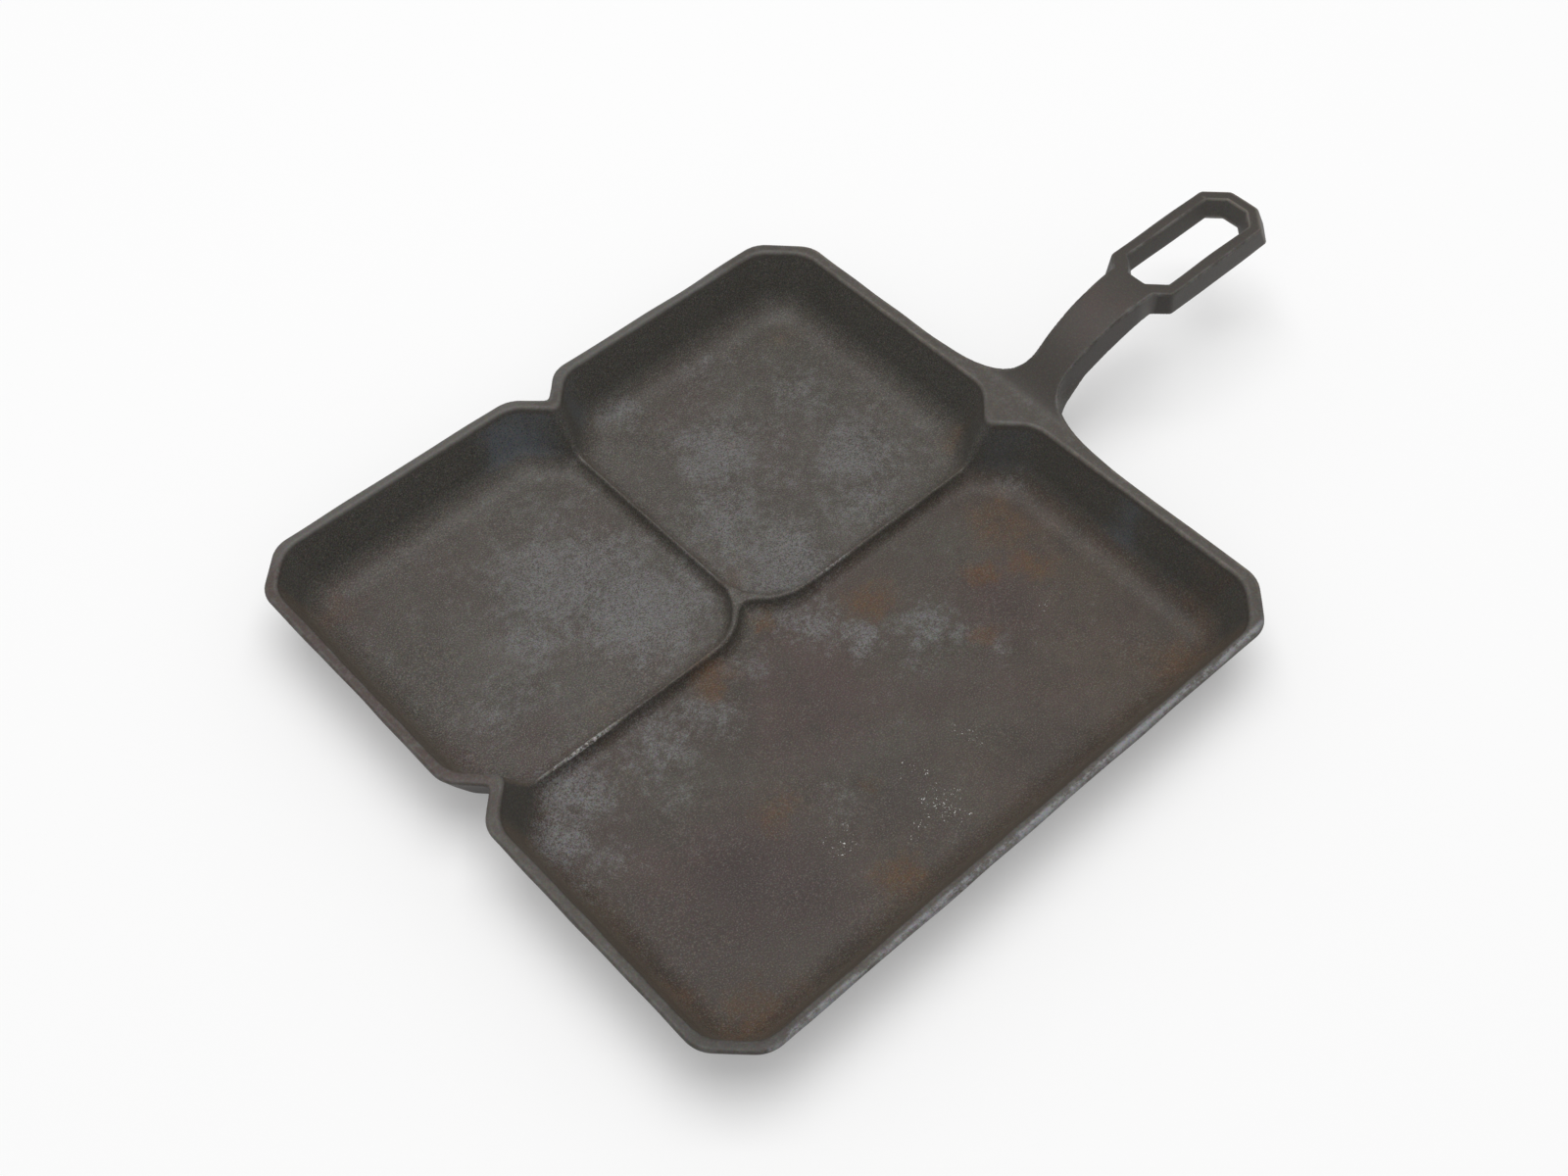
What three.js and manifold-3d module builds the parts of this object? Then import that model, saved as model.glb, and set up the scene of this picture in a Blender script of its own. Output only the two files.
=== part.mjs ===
// Divided breakfast skillet: a square cast-iron pan with one large tray, two egg trays, low dividers
// between them and a raised handle that ends in a slotted loop.
// Millimetres. The origin is the middle of the flat base, X runs along the long divider towards the
// handle, Y from the large tray towards the egg trays, and Z is up.
// The real pan is a single casting. It is modelled whole and then divided into its named regions, which
// meet face to face on flat planes.

import * as THREE from 'three';
import { mergeVertices } from 'three/addons/utils/BufferGeometryUtils.js';
import Module from 'manifold-3d';

const wasm = await Module();
wasm.setup();

// Pan: rim, walls and floor
const panSide = 240;
const rimHeight = 25.5;
const rimLand = 4;
const rimEase = 0.8;
const trayDraft = THREE.MathUtils.degToRad(21);
const outsideDraft = THREE.MathUtils.degToRad(24);
const floorThickness = 4;
const floorFillet = 8;
const baseRound = 10;
const cornerLeg = 14.8;
const cornerRound = 9;

// Dividers: crest above the tray floors, and the cut-off tray corners at their ends
const crestHeight = 6;
const crestWidth = 2;
const notchLeg = 15.3;
const notchLand = 3.2;
const notchRound = 2.5;
const noseRound = 3.5;
const junctionLeg = 13.7;
const junctionRound = 5;

// Handle: lengths run outwards from the rim's edge, heights up from the rim, and a pull is how far a
// curve keeps its direction from its end
const handleLength = 118.5;
const handleRise = 20;
const loopThickness = 10;
const endLean = 5.2;
const shoulderLean = 1.5;
const rootDepth = 13;
const riseStart = 1;
const risePull = 8;
const levelPull = 35;
const rootPull = 12;
const rootLift = 2;
const rootRound = 4;
const rootSpread = 5;
const underPull = 20;
const underDrop = 1.5;
const flareHalf = 46;
const flarePull = 21;
const flareLift = 2.3;
const flareSink = 1.5;
const neckDistance = 16;
const neckPull = 12.6;
const neckWidth = 14.8;
const armEndWidth = 18.4;
const loopWidth = 28.4;
const barWidth = 4.2;
const slotLength = 55.8;
const slotStartLeg = 6;
const shoulderLead = 2.3;
const shoulderLeg = 5;
const loopEndLeg = 8;
const loopRound = 2;

// Fineness of the curves, the share of a side that one corner's round may take, and the room that cutting
// shapes leave around what they cut
const arcSteps = 5;
const filletSteps = 5;
const curveSteps = 14;
const rootSteps = 4;
const roundShare = 0.49;
const clearOf = 1;

// Places worked out from the sizes above
const rimEdge = panSide / 2;
const trayEdge = rimEdge - rimLand;
const traySlope = Math.tan(trayDraft);
const outsideSlope = Math.tan(outsideDraft);
const wallEdge = rimEdge + rimEase * outsideSlope;
const crestDepth = rimHeight - floorThickness - crestHeight;
const trayOverlap = crestDepth * traySlope - crestWidth / 2;
const filletReach = floorFillet * Math.tan((Math.PI / 2 - trayDraft) / 2);
const floorInset = (rimHeight - floorThickness) * traySlope + filletReach;
const trayCornerLeg = cornerLeg - rimLand * (2 - Math.SQRT2);
const trayCornerRound = cornerRound - rimLand;
const ridgeTop = trayEdge - notchLeg + trayOverlap;
const ridgeFoot = ridgeTop - (trayOverlap + crestWidth / 2) * Math.SQRT2;
const notchDepth = wallEdge - ridgeTop - (notchLand + rimEase * outsideSlope) * Math.SQRT2;
const handleEnd = rimEdge + handleLength;
const slotEnd = handleEnd - barWidth;
const slotStart = slotEnd - slotLength;
const shoulder = slotStart - shoulderLead;
const neck = rimEdge + neckDistance;
const rootInset = rootDepth * outsideSlope;
const rootBack = rimEdge - rootInset - flareSink - 2 * rootRound - clearOf;
const handleTop = rimHeight + handleRise;
const loopUnder = handleTop - loopThickness;

// An outline is a list of corners in order, leftwards round its inside. Moved inwards by inset, each
// rounded corner keeps its number of points, so that outlines at two heights join point to point.
function outline(corners, inset) {
  const count = corners.length;
  const moved = corners.map((corner, index) => {
    const before = corners[(index + count - 1) % count];
    const after = corners[(index + 1) % count];
    const arriving = new THREE.Vector2(corner.x - before.x, corner.y - before.y).normalize();
    const leaving = new THREE.Vector2(after.x - corner.x, after.y - corner.y).normalize();
    const turn = Math.atan2(arriving.cross(leaving), arriving.dot(leaving));
    const inwards = new THREE.Vector2(-arriving.y - leaving.y, arriving.x + leaving.x);
    const place = inwards.multiplyScalar(inset / (1 + arriving.dot(leaving)));
    place.x += corner.x;
    place.y += corner.y;
    return { place, arriving, turn, round: corner.round ?? 0 };
  });
  return moved.flatMap(({ place, arriving, turn, round }, index) => {
    if (round === 0) {
      return [place];
    }
    const sideBefore = place.distanceTo(moved[(index + count - 1) % count].place);
    const sideAfter = place.distanceTo(moved[(index + 1) % count].place);
    const half = Math.tan(Math.abs(turn) / 2);
    const reach = Math.min(round * half, roundShare * sideBefore, roundShare * sideAfter);
    const radius = (reach / half) * Math.sign(turn);
    const start = place.clone().addScaledVector(arriving, -reach);
    const centre = new THREE.Vector2(start.x - arriving.y * radius, start.y + arriving.x * radius);
    return Array.from({ length: arcSteps + 1 }, (_, step) =>
      start.clone().rotateAround(centre, (turn * step) / arcSteps));
  });
}

// A closed mesh becomes a solid that can be joined and cut.
function solid(geometry) {
  geometry.deleteAttribute('normal');
  geometry.deleteAttribute('uv');
  const merged = mergeVertices(geometry);
  return new wasm.Manifold(new wasm.Mesh({
    numProp: 3,
    vertProperties: new Float32Array(merged.attributes.position.array),
    triVerts: new Uint32Array(merged.index.array),
  }));
}

// A solid through level sections, from the lowest up, turned about the pan's middle. Each section has a
// height and the same number of points.
function loft(sections, turn = 0) {
  const size = sections[0].points.length;
  const positions = sections.flatMap(({ points, z }) => points.flatMap(({ x, y }) => [x, y, z]));
  const faces = [];
  for (let ring = 0; ring < sections.length - 1; ring += 1) {
    for (let point = 0; point < size; point += 1) {
      const a = ring * size + point;
      const b = ring * size + ((point + 1) % size);
      faces.push(a, b, b + size, a, b + size, a + size);
    }
  }
  const top = (sections.length - 1) * size;
  THREE.ShapeUtils.triangulateShape(sections[0].points, []).forEach(([a, b, c]) => faces.push(a, c, b));
  THREE.ShapeUtils.triangulateShape(sections.at(-1).points, []).forEach(([a, b, c]) => {
    faces.push(top + a, top + b, top + c);
  });
  const geometry = new THREE.BufferGeometry();
  geometry.setAttribute('position', new THREE.Float32BufferAttribute(positions, 3));
  geometry.setIndex(faces);
  geometry.rotateZ(turn);
  return solid(geometry);
}

// Sections of one outline, each drawn in by an inset at its height.
function drawnIn(corners, rings) {
  return rings.map(({ inset, z }) => ({ points: outline(corners, inset), z }));
}

function block(low, high) {
  const geometry = new THREE.BoxGeometry(high[0] - low[0], high[1] - low[1], high[2] - low[2]);
  geometry.translate((low[0] + high[0]) / 2, (low[1] + high[1]) / 2, (low[2] + high[2]) / 2);
  return solid(geometry);
}

// Rings of a drafted wall that turns into a floor through a round, from the floor to just under the rim.
function wallRings(floorZ, round, draft) {
  const slope = Math.tan(draft);
  const centreInset = (rimHeight - floorZ) * slope + round * Math.tan((Math.PI / 2 - draft) / 2);
  const rings = [];
  for (let step = 0; step <= filletSteps; step += 1) {
    const angle = Math.PI / 2 - ((Math.PI / 2 - draft) * step) / filletSteps;
    const z = floorZ + round - round * Math.sin(angle);
    rings.push({ inset: centreInset - round * Math.cos(angle), z });
  }
  rings.push({ inset: rimEase * slope, z: rimHeight - rimEase });
  return rings;
}

// The pan's outside: a square with cut corners, and a V notch in the rim at the end of each divider that
// no handle covers.
function panBody() {
  const e = wallEdge;
  const cut = wallEdge - cornerLeg;
  const round = cornerRound;
  const corners = [
    { x: -cut, y: -e, round },
    { x: cut, y: -e, round },
    { x: e, y: -cut, round },
    { x: e, y: cut, round },
    { x: cut, y: e, round },
    { x: notchDepth, y: e, round },
    { x: 0, y: e - notchDepth, round: notchRound },
    { x: -notchDepth, y: e, round },
    { x: -cut, y: e, round },
    { x: -e, y: cut, round },
    { x: -e, y: notchDepth, round },
    { x: -e + notchDepth, y: 0, round: notchRound },
    { x: -e, y: -notchDepth, round },
    { x: -e, y: -cut, round },
  ];
  const rim = { inset: rimEase * (1 + outsideSlope), z: rimHeight };
  return loft(drawnIn(corners, [...wallRings(0, baseRound, outsideDraft), rim]));
}

// A tray's hollow, from its floor to above the rim.
function trayHollow(corners) {
  return loft(drawnIn(corners, [
    ...wallRings(floorThickness, floorFillet, trayDraft),
    { inset: -rimEase, z: rimHeight },
    { inset: -rimEase, z: rimHeight + clearOf },
  ]));
}

// The large tray's long side has a V bump that fills the gap between the egg trays' cut corners.
function largeTrayHollow() {
  const e = trayEdge;
  const cut = trayEdge - trayCornerLeg;
  const round = trayCornerRound;
  const crestInset = trayOverlap + crestWidth / 2;
  const bump = junctionLeg - crestInset * (2 - Math.SQRT2) + crestWidth * (Math.SQRT2 - 1);
  return trayHollow([
    { x: -cut, y: -e, round },
    { x: cut, y: -e, round },
    { x: e, y: -cut, round },
    { x: e, y: trayOverlap - notchLeg, round },
    { x: e - notchLeg, y: trayOverlap, round },
    { x: bump, y: trayOverlap, round },
    { x: 0, y: trayOverlap + bump, round: junctionRound },
    { x: -bump, y: trayOverlap, round },
    { x: -e + notchLeg, y: trayOverlap, round },
    { x: -e, y: trayOverlap - notchLeg, round },
    { x: -e, y: -cut, round },
  ]);
}

// An egg tray has four cut corners. The side is 1 next to the handle and -1 at the far end.
function eggTrayHollow(side) {
  const e = trayEdge;
  const cut = trayEdge - trayCornerLeg;
  const round = trayCornerRound;
  const corners = [
    { x: -trayOverlap + junctionLeg, y: -trayOverlap, round },
    { x: e - notchLeg, y: -trayOverlap, round },
    { x: e, y: -trayOverlap + notchLeg, round },
    { x: e, y: cut, round },
    { x: cut, y: e, round },
    { x: -trayOverlap + notchLeg, y: e, round },
    { x: -trayOverlap, y: e - notchLeg, round },
    { x: -trayOverlap, y: -trayOverlap + junctionLeg, round },
  ];
  if (side > 0) {
    return trayHollow(corners);
  }
  return trayHollow(corners.map(({ x, y }) => ({ x: -x, y, round })).reverse());
}

// Above the crests the trays run together: this clears the sharp ridges that their walls would meet in.
function crestClearance() {
  const low = floorThickness + crestHeight;
  const high = rimHeight + clearOf;
  const wide = crestWidth * 2;
  const along = block([-ridgeFoot, -wide, low], [ridgeFoot, wide, high]);
  const across = block([-wide, 0, low], [wide, ridgeFoot, high]);
  const junction = block([-junctionLeg, 0, low], [junctionLeg, junctionLeg, high]);
  return along.add(across).add(junction);
}

// At a divider's end the walls of two trays' cut corners would meet in a sharp ridge that leans with the
// draft. This rounds the ridge off above the crest, at the end that turn carries it round to.
function noseCut(turn) {
  const near = ridgeFoot - clearOf;
  const section = (z, ease) => {
    const ridge = ridgeTop - (rimHeight - z) * traySlope * Math.SQRT2;
    const centre = ridge + noseRound * Math.SQRT2;
    const radius = noseRound - ease;
    const side = centre - radius * Math.SQRT1_2;
    const points = [new THREE.Vector2(near, -noseRound), new THREE.Vector2(side, -noseRound)];
    for (let step = 0; step <= arcSteps; step += 1) {
      const angle = Math.PI * (1.25 - step / (2 * arcSteps));
      points.push(new THREE.Vector2(centre + radius * Math.cos(angle), radius * Math.sin(angle)));
    }
    points.push(new THREE.Vector2(side, noseRound), new THREE.Vector2(near, noseRound));
    return points;
  };
  return loft([
    { points: section(floorThickness + crestHeight, 0), z: floorThickness + crestHeight },
    { points: section(rimHeight - rimEase, 0), z: rimHeight - rimEase },
    { points: section(rimHeight, rimEase), z: rimHeight },
    { points: section(rimHeight, rimEase), z: rimHeight + clearOf },
  ], turn);
}

// The handle's side view, in X and Z: the top rises from the rim in an S, and the underside from the wall.
function handleProfile() {
  const beyond = handleEnd + endLean + clearOf;
  const rootZ = rimHeight - rootDepth;
  const side = new THREE.Shape();
  side.moveTo(rootBack, rimHeight);
  side.lineTo(rimEdge + riseStart, rimHeight);
  side.bezierCurveTo(
    rimEdge + riseStart + risePull, rimHeight,
    shoulder - levelPull, handleTop,
    shoulder, handleTop,
  );
  side.lineTo(beyond, handleTop);
  side.lineTo(beyond, loopUnder);
  side.lineTo(shoulder, loopUnder);
  side.bezierCurveTo(
    shoulder - underPull, loopUnder - underDrop,
    rimEdge + rootPull, rootZ + rootLift,
    rimEdge - rootInset, rootZ,
  );
  side.lineTo(rootBack, rootZ);
  const depth = 2 * (flareHalf + clearOf);
  const settings = { depth, bevelEnabled: false, curveSegments: curveSteps };
  const geometry = new THREE.ExtrudeGeometry(side, settings);
  geometry.translate(0, 0, -depth / 2);
  geometry.rotateX(Math.PI / 2);
  return solid(geometry);
}

// The handle's plan, in X and Y, at a depth under the rim and with its loop between the given places. The
// flare starts just within the drafted wall, and its neck spreads with the depth.
function handlePlan(depth, start, end) {
  const wall = rimEdge - depth * outsideSlope;
  const neckHalf = neckWidth / 2 + (rootSpread * depth) / rootDepth;
  const flare = new THREE.CubicBezierCurve(
    new THREE.Vector2(wall - flareSink, -flareHalf),
    new THREE.Vector2(wall + flareLift, -flareHalf + flarePull),
    new THREE.Vector2(neck - neckPull, -neckHalf),
    new THREE.Vector2(neck, -neckHalf),
  );
  const half = loopWidth / 2;
  const nearSide = [
    { x: rootBack, y: -flareHalf },
    ...flare.getPoints(curveSteps).map(({ x, y }) => ({ x, y })),
    { x: start, y: -armEndWidth / 2, round: loopRound },
    { x: start + shoulderLeg, y: -half, round: loopRound },
    { x: end - loopEndLeg, y: -half, round: loopRound },
    { x: end, y: -half + loopEndLeg, round: loopRound },
  ];
  return [...nearSide, ...nearSide.map(({ x, y, round }) => ({ x, y: -y, round })).reverse()];
}

// The slot runs straight up through the loop, with cut corners inside the loop's own.
function handleSlot() {
  const slotHalf = loopWidth / 2 - barWidth;
  const slotEndLeg = loopEndLeg - barWidth * (2 - Math.SQRT2);
  const nearSide = [
    { x: slotStart, y: -slotHalf + slotStartLeg },
    { x: slotStart + slotStartLeg, y: -slotHalf },
    { x: slotEnd - slotEndLeg, y: -slotHalf },
    { x: slotEnd, y: -slotHalf + slotEndLeg },
  ];
  return loft(drawnIn([...nearSide, ...nearSide.map(({ x, y }) => ({ x, y: -y })).reverse()], [
    { inset: 0, z: loopUnder - clearOf },
    { inset: 0, z: handleTop + clearOf },
  ]));
}

// The handle is where its side view crosses its plan. Under the rim the plan follows the wall and rounds
// in to it, and at both ends of the loop the underside reaches farther out than the top.
function handle() {
  const lowStart = shoulder - shoulderLean;
  const lowEnd = handleEnd + endLean;
  const sections = [];
  for (let step = rootSteps; step >= 0; step -= 1) {
    const angle = ((Math.PI / 2) * step) / rootSteps;
    const depth = rootDepth * Math.sin(angle);
    const plan = handlePlan(depth, lowStart, lowEnd);
    sections.push({ points: outline(plan, rootRound * (1 - Math.cos(angle))), z: rimHeight - depth });
  }
  sections.push({ points: outline(handlePlan(0, lowStart, lowEnd), 0), z: loopUnder });
  sections.push({ points: outline(handlePlan(0, shoulder, handleEnd), 0), z: handleTop });
  const outside = loft(sections);
  return handleProfile().intersect(outside).subtract(handleSlot());
}

const casting = panBody()
  .add(handle())
  .subtract(largeTrayHollow())
  .subtract(eggTrayHollow(-1))
  .subtract(eggTrayHollow(1))
  .subtract(crestClearance())
  .subtract(noseCut(0))
  .subtract(noseCut(Math.PI / 2))
  .subtract(noseCut(Math.PI));

// Regions. A divider's foot ends just past the fillets at its two sides, and its length ends before the
// cut corners' fillets. The planes between regions are shared, so neighbours meet exactly.
const below = -clearOf;
const above = handleTop + clearOf;
const dividerFoot = floorInset - trayOverlap + clearOf;
const dividerEnd = ridgeTop - floorInset * Math.SQRT2 + dividerFoot - clearOf;
const junctionFoot = junctionLeg + floorInset * (Math.SQRT2 - 1) - trayOverlap + clearOf;
const rootStart = rimEdge + clearOf;
const outwards = handleEnd + endLean + clearOf;

function region(lowX, highX, lowY, highY) {
  return block([lowX, lowY, below], [highX, highY, above]);
}

const longStrip = region(-dividerEnd, dividerEnd, -dividerFoot, dividerFoot);
const shortStrip = region(-dividerFoot, dividerFoot, dividerFoot, dividerEnd)
  .add(region(-junctionFoot, junctionFoot, dividerFoot, junctionFoot));
const strips = longStrip.add(shortStrip);

const skillet = new THREE.Group();

function addRegion(name, shape, colour) {
  const mesh = casting.intersect(shape).getMesh();
  const geometry = new THREE.BufferGeometry();
  geometry.setAttribute('position', new THREE.BufferAttribute(new Float32Array(mesh.vertProperties), 3));
  geometry.setIndex(new THREE.BufferAttribute(new Uint32Array(mesh.triVerts), 1));
  geometry.computeVertexNormals();
  const iron = new THREE.MeshStandardMaterial({ color: colour, roughness: 0.62, metalness: 0.55 });
  const piece = new THREE.Mesh(geometry, iron);
  piece.name = name;
  skillet.add(piece);
}

const trayBrown = 0x3d3733;
const eggTrayGrey = 0x45423f;
const dividerGrey = 0x4a4743;
const handleGrey = 0x3f3d3a;

addRegion('large_tray', region(-outwards, rootStart, -outwards, 0).subtract(strips), trayBrown);
addRegion('far_egg_tray', region(-outwards, 0, 0, outwards).subtract(strips), eggTrayGrey);
addRegion('near_egg_tray', region(0, rootStart, 0, outwards).subtract(strips), eggTrayGrey);
addRegion('long_divider', longStrip, dividerGrey);
addRegion('short_divider', shortStrip, dividerGrey);
addRegion('handle_root', region(rootStart, neck, -outwards, outwards), handleGrey);
addRegion('handle_arm', region(neck, shoulder, -outwards, outwards), handleGrey);
addRegion('handle_loop', region(shoulder, outwards, -outwards, outwards), handleGrey);

export default skillet;
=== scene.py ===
# %% [markdown]
# # A divided breakfast skillet in old cast iron
# The pan is a single casting: a square rim, one large tray, two egg trays, low dividers between them and a
# raised handle with a slotted loop. The packed solids hold its true sizes, so they are loaded first as a
# fixed frame. Everything made here sits over them, in metres, in the same place.

# %% Load the frame
import itertools
import math

import bpy
import numpy as np
from mathutils import Matrix, Vector


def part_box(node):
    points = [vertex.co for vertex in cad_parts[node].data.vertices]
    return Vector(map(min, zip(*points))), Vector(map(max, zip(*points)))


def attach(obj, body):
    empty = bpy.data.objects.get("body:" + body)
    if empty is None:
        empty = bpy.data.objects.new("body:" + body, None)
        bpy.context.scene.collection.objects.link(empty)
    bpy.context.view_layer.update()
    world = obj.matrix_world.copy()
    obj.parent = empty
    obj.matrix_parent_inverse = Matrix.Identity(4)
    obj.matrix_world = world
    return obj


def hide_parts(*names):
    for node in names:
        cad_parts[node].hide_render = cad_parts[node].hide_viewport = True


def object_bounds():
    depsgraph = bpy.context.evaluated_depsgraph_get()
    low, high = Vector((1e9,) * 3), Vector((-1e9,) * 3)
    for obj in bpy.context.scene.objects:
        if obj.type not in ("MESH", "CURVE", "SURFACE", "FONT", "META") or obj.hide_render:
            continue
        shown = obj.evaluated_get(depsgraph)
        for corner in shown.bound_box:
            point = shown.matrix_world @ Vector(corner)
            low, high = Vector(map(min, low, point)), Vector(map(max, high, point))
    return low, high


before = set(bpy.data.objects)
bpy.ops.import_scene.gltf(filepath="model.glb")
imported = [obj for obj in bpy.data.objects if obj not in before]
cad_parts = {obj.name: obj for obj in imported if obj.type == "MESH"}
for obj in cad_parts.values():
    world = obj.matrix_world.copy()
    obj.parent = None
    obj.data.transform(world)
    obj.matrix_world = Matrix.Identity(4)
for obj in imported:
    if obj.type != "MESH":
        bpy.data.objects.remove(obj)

cad_low, cad_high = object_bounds()
print("frame", [round(v, 4) for v in cad_low], [round(v, 4) for v in cad_high])

# %% [markdown]
# ## Sizes
# A casting drawing is easiest to follow in millimetres, so shapes are worked out in millimetres and scaled
# once, when the mesh is made. The overall sizes are read from the solids and are not typed again.

# %% Sizes read from the solids
MM = 0.001


def node_box(node):
    low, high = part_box(node)
    return np.array(low) / MM, np.array(high) / MM


tray_low, tray_high = node_box("large_tray")
arm_low = node_box("handle_arm")[0]
loop_low, loop_high = node_box("handle_loop")
rim_edge = -tray_low[0]
rim_height = tray_high[2]
neck = arm_low[0]
shoulder = loop_low[0]
handle_top = loop_high[2]
loop_under = loop_low[2]
loop_half = loop_high[1]
print(f"rim {2 * rim_edge:.1f} mm square and {rim_height:.1f} mm high, handle top at {handle_top:.1f} mm")

# %% [markdown]
# ## Why a distance field
# Molten iron leaves no sharp edge: every crest, rim and corner of the real pan is rounded. Boxes with bevels
# could be joined, but their bevels break where three walls meet. A distance field gives each point its
# distance from the surface, negative inside the iron. Two fields join with a minimum or a maximum, and a
# soft minimum or maximum rounds the edge between them by a radius that can be chosen.

# %% Soft joins
DIAGONAL = math.sqrt(0.5)


def soft_max(a, b, reach):
    """The larger of two fields, eased where they differ by less than reach."""
    near = np.maximum(reach - np.abs(a - b), 0) / reach
    return np.maximum(a, b) + near * near * reach / 4


def soft_min(a, b, reach):
    return -soft_max(-a, -b, reach)


def rounding(radius, turn):
    """The reach that rounds an edge to a radius, where the surface turns by that many degrees."""
    return 4 * radius * (1 - math.cos(math.radians(turn) / 2))


print(f"a 1 mm round on a square edge needs a reach of {rounding(1, 90):.2f} mm")

# %% [markdown]
# ## Walls and dividers
# The walls lean, so that the casting can leave its sand: a hollow shrinks with depth by its draft. A low
# divider is what stays between two such hollows. Its sides would meet at an apex, and the round of its crest
# takes the top off, so the apex is worked out from the crest's height and round.

# %% Walls and dividers
rim_land = 4.0
tray_draft = 21.0
divider_draft = 18.0
floor_top = 4.0
crest_height = 5.0
crest_round = 0.6

tray_edge = rim_edge - rim_land
tray_slope = math.tan(math.radians(tray_draft))
tray_lean = math.cos(math.radians(tray_draft))
divider_slope = math.tan(math.radians(divider_draft))
divider_lean = math.cos(math.radians(divider_draft))
crest_apex = crest_round * (1 / math.sin(math.radians(divider_draft)) - 1)
apex_depth = rim_height - floor_top - crest_height - crest_apex
print(f"the dividers' sides would meet {crest_apex:.1f} mm above their rounded crests")

# %% [markdown]
# ## The egg trays from above
# Each egg tray is a rectangle with its corners cut at 45 degrees. Two cuts leave room for the notches in the
# rim, and the rounder cut at the middle leaves room for the large tray's point. The four corners of the real
# rim aren't quite alike, so each has its own leg, and the dividers lie a little off the middle and askew.

# %% Egg tray outline
corner_legs = {(-1, 1): 14.2, (1, 1): 15.4, (1, -1): 14.6, (-1, -1): 14.9}
tray_corner_round = 13.0
nose_place = 104.0
short_place = -0.25
short_drop = 0.5
long_place = 0.35
long_skew = 0.0058
junction_cut = 12.5
junction_round = 20.0

land_at_cut = rim_land * (2 - math.sqrt(2))
corner_reach = rounding(tray_corner_round, 45)
junction_reach = rounding(junction_round, 45)


def beyond_cut(x, y, corner, outwards, leg):
    """How far a point lies outside the line that cuts a corner off by leg."""
    return ((x - corner[0]) * outwards[0] + (y - corner[1]) * outwards[1] + leg) * DIAGONAL


def egg_tray_outline(x, y, side):
    """The rim's side and the dividers' side; side is 1 next to the handle and -1 at the far end."""
    out = x * side
    rim_leg = corner_legs[(side, 1)] - land_at_cut
    corner = (tray_edge, tray_edge)
    rim_side = np.maximum(out - tray_edge, y - tray_edge)
    rim_side = soft_max(rim_side, beyond_cut(out, y, corner, (1, 1), rim_leg), corner_reach)
    for towards, across in ((y, out), (out, y)):
        rim_side = soft_max(rim_side, (towards - across - nose_place) * DIAGONAL, corner_reach)
    from_short = (x - short_place) * side
    from_long = y - long_place + long_skew * x
    cut = (junction_cut - from_short - from_long) * DIAGONAL
    divider_side = np.maximum(-short_drop * divider_slope - from_short, -from_long)
    return rim_side, soft_max(divider_side, cut, junction_reach)


print("corner legs:", sorted(corner_legs.values()), "mm")

# %% [markdown]
# ## The large tray from above
# The third tray fills the other half of the pan, with two corners at the rim and two beside the notches. Its
# side along the divider is straight, apart from a small rounded point that pushes in between the egg trays.

# %% Large tray outline
point_place = -0.6
point_reach = 12.0
point_ease = 3.0


def large_tray_outline(x, y):
    """The rim's side and the divider's side."""
    rim_side = np.maximum(np.abs(x) - tray_edge, -tray_edge - y)
    for side in (-1, 1):
        rim_leg = corner_legs[(side, -1)] - land_at_cut
        corner = (side * tray_edge, -tray_edge)
        rim_side = soft_max(rim_side, beyond_cut(x, y, corner, (side, -1), rim_leg), corner_reach)
        rim_side = soft_max(rim_side, (side * x + y - nose_place) * DIAGONAL, corner_reach)
    from_long = y - long_place + long_skew * x
    point = (y + np.hypot(x - point_place, point_ease) - point_reach) * DIAGONAL
    return rim_side, soft_min(from_long, point, junction_reach)


print(f"the point reaches {point_reach - point_ease:.1f} mm past the middle")

# %% [markdown]
# ## The tray hollows
# A hollow is an outline drawn in with depth, down to a flat floor with a round fillet. The fillet is large
# at the outer walls and small at the dividers, so one runs into the other along each wall.

# %% One hollow
floor_fillet = 12.0
divider_fillet = 4.5
nose_foot_round = 5.0
fillet_reach = rounding(floor_fillet, 90 - tray_draft)
divider_fillet_reach = rounding(divider_fillet, 90 - divider_draft)
nose_foot_reach = rounding(nose_foot_round, 45)


def hollow(outline, z):
    """Negative inside the hollow, as a field of the air in it."""
    rim_side, divider_side = outline
    depth = rim_height - z
    rim_wall = (rim_side + depth * tray_slope) * tray_lean
    divider_wall = (divider_side + (depth - apex_depth) * divider_slope) * divider_lean
    share = np.clip(0.5 + (divider_wall - rim_wall) / (4 * corner_reach), 0, 1)
    fillet = fillet_reach + (divider_fillet_reach - fillet_reach) * share
    return soft_max(soft_max(rim_wall, divider_wall, nose_foot_reach), floor_top - z, fillet)


print(f"floor fillets of {floor_fillet} mm at the walls and {divider_fillet} mm at the dividers")

# %% [markdown]
# ## The dividers
# Where two hollows run together their walls meet in a ridge: low between the trays, and climbing to the rim
# as a nose at each divider's end. A soft minimum of the three hollows rounds them all. Where the ridges meet
# they would rise to a peak, which the real pan doesn't have, so the air over the crests is levelled there.

# %% All three hollows
nose_round = 3.0
level_over = 0.2
level_reach = 0.5
crest_reach = rounding(crest_round, 180 - 2 * divider_draft)
nose_reach = rounding(nose_round, 90)


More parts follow.
